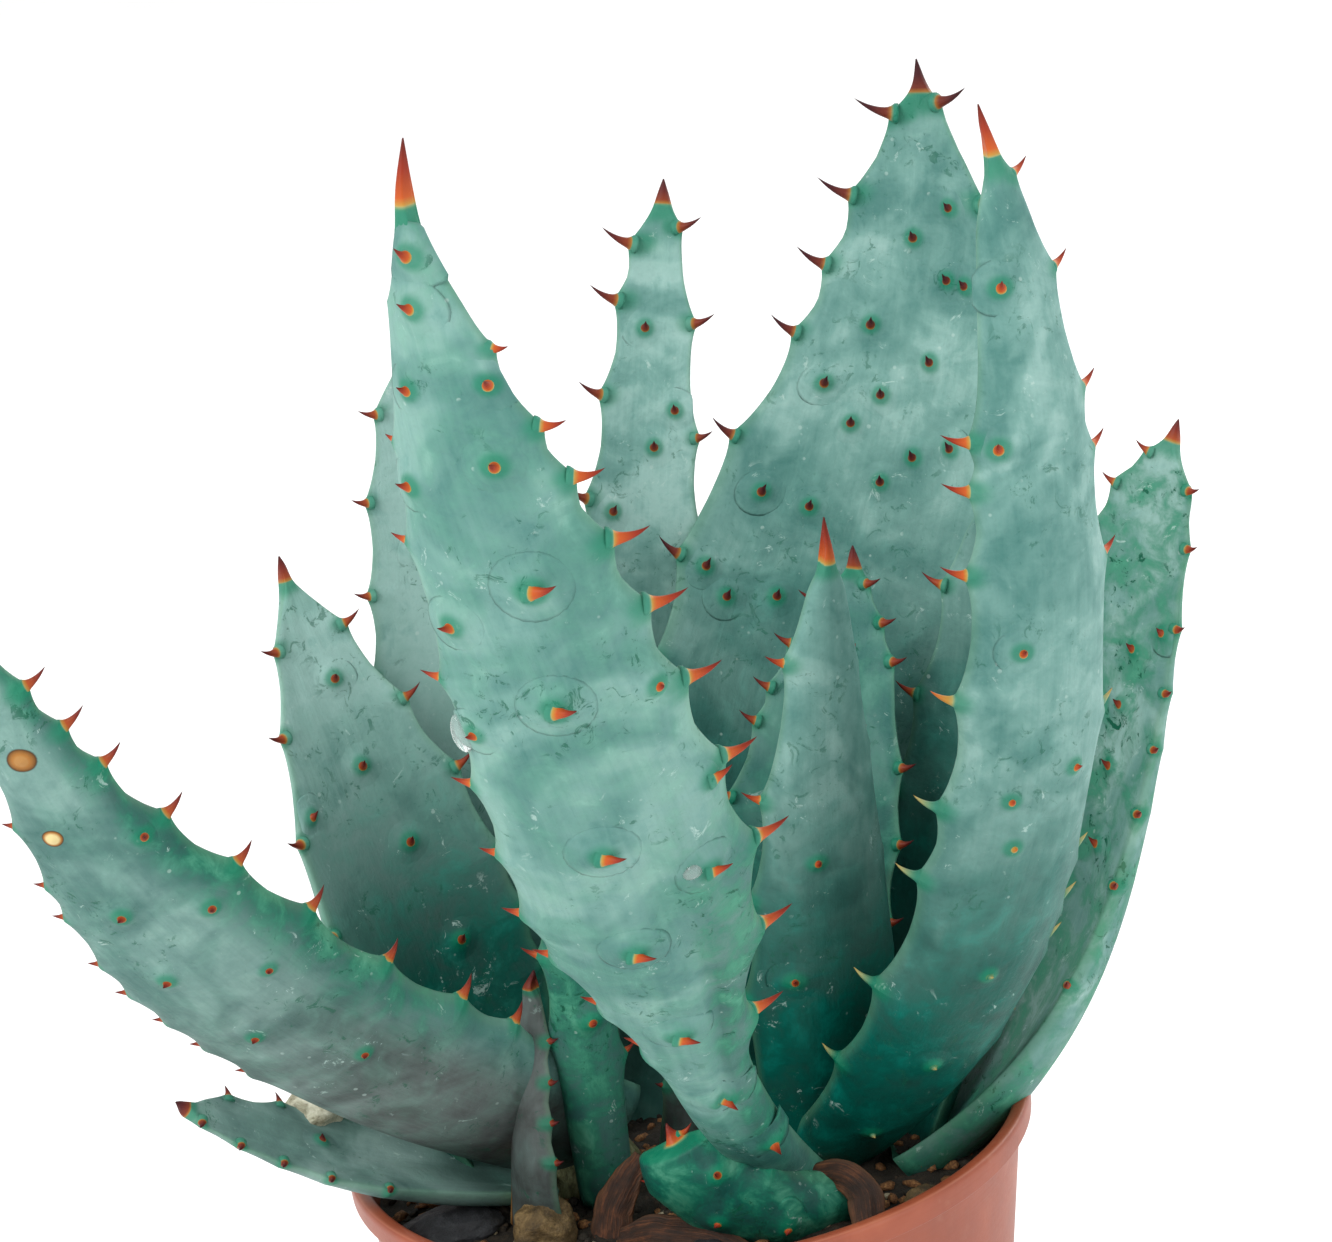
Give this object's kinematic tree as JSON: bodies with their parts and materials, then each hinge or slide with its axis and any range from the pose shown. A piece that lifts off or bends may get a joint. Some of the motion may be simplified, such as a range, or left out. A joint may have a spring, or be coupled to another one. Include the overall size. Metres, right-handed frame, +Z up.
{
  "type": "potted aloe plant",
  "caption": "Spiny blue-green aloe with upright toothed leaves, growing in a round terracotta-coloured plastic nursery pot of soil.",
  "frame": {"origin": "centre of the pot's underside, on the surface that the pot stands on", "axes": "+Z up, along the pot's axis; -Y towards the front of the plant; +X to its right as seen from the front"},
  "size_m": [0.1987, 0.1994, 0.3053],
  "materials": {
    "leaf": "fleshy living leaf, matt, with a thin pale wax bloom",
    "leaf_shaded": "fleshy living leaf, grey-mauve under the wax bloom",
    "pot_plastic": "terracotta-coloured satin plastic",
    "potting_soil": "damp bark and peat potting mix",
    "stem": "fibrous stem",
    "slate": "dull dark stone",
    "ochre_stone": "dull brown stone",
    "pale_stone": "pale grit",
    "dried_leaf": "brown papery dead leaf"
  },
  "bodies": {
    "root": {"pot": "pot_plastic", "soil": "potting_soil", "stem_right": "stem", "stem_left": "stem", "leaf_front_large": "leaf", "leaf_right_large": "leaf", "leaf_front_stub": "leaf", "leaf_centre": "leaf", "leaf_left_sweeping": "leaf_shaded", "leaf_left_upright": "leaf", "leaf_back_large": "leaf", "leaf_back_centre": "leaf", "leaf_right_outer": "leaf", "leaf_inner_broad": "leaf", "leaf_inner_right": "leaf", "leaf_back_left": "leaf", "leaf_left_low": "leaf", "leaf_front_strip": "leaf", "leaf_pink_edged": "leaf_shaded", "leaf_mauve_short": "leaf_shaded", "stone_slate": "slate", "stone_brown": "slate", "stone_ochre": "ochre_stone", "stone_amber": "ochre_stone", "pebble_pale": "pale_stone", "dried_leaf_strand": "dried_leaf", "dried_leaf_under_stub": "dried_leaf", "dried_leaf_claw": "dried_leaf"}
  },
  "joints": []
}
